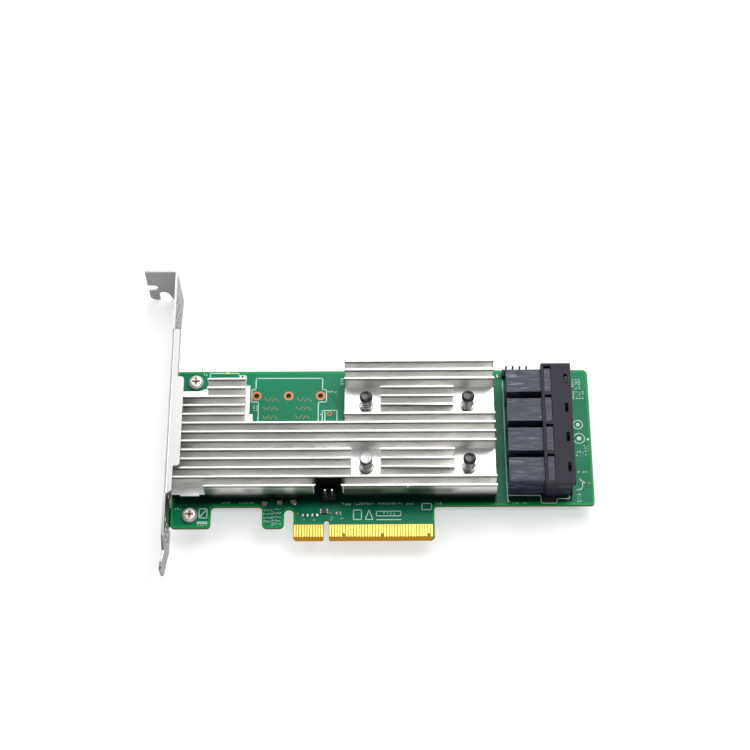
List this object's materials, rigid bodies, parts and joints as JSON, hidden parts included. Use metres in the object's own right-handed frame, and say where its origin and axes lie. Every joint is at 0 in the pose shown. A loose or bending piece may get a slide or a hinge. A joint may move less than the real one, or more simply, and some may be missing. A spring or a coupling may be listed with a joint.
{
  "type": "raid controller card",
  "caption": "Low-height storage controller card with a keyed gold edge, a wide finned heatsink on spring pins, ganged right-angle ports and a tall perforated bracket.",
  "frame": {"origin": "bottom edge of the gold finger, at the middle of its key slot, half way through the board's thickness", "axes": "+X along the card from the bracket to the ports, +Y up the card away from its gold edge, +Z out of the component face"},
  "size_m": [0.169, 0.1201, 0.0218],
  "materials": {
    "solder_mask": "semi-gloss green solder mask over the laminate",
    "gold": "polished hard gold plating",
    "heatsink_aluminium": "machined and clear finished, semi-gloss",
    "chip_black": "matt moulding compound",
    "thermal_pad_grey": "soft matt silicone",
    "inductor_grey": "pressed metal powder, matt",
    "pin_plastic": "moulded black nylon, satin",
    "spring_steel": "dark drawn wire",
    "port_plastic": "moulded glass-filled plastic, blue-black",
    "shroud_plastic": "moulded plastic, dark slate",
    "header_plastic": "moulded black plastic",
    "header_pin_metal": "bright tin plate",
    "bracket_steel": "plated steel sheet, satin",
    "screw_steel": "bright zinc plate",
    "capacitor_ceramic": "fired ceramic, tan",
    "capacitor_tin": "tinned ends",
    "resistor_black": "coated alumina",
    "sensor_plastic": "matt moulding compound",
    "led_lens": "clear yellow-green resin"
  },
  "bodies": {
    "root": {"circuit_board": "solder_mask", "edge_contacts": "gold", "heatsink": "heatsink_aluminium", "controller_chip": "chip_black", "thermal_pad": "thermal_pad_grey", "power_inductors": "inductor_grey", "regulator_chips": "chip_black", "push_pin_1": "pin_plastic", "push_pin_2": "pin_plastic", "push_pin_3": "pin_plastic", "push_pin_4": "pin_plastic", "pin_spring_1": "spring_steel", "pin_spring_2": "spring_steel", "pin_spring_3": "spring_steel", "pin_spring_4": "spring_steel", "port_body_1": "port_plastic", "port_body_2": "port_plastic", "port_body_3": "port_plastic", "port_body_4": "port_plastic", "port_shroud": "shroud_plastic", "two_pin_header_body": "header_plastic", "two_pin_header_pins": "header_pin_metal", "four_pin_header_body": "header_plastic", "four_pin_header_pins": "header_pin_metal", "bracket": "bracket_steel", "bracket_screws": "screw_steel", "capacitor_bodies": "capacitor_ceramic", "capacitor_ends": "capacitor_tin", "chip_resistors": "resistor_black", "sensor_chip": "sensor_plastic", "indicator_led": "led_lens"}
  },
  "joints": []
}
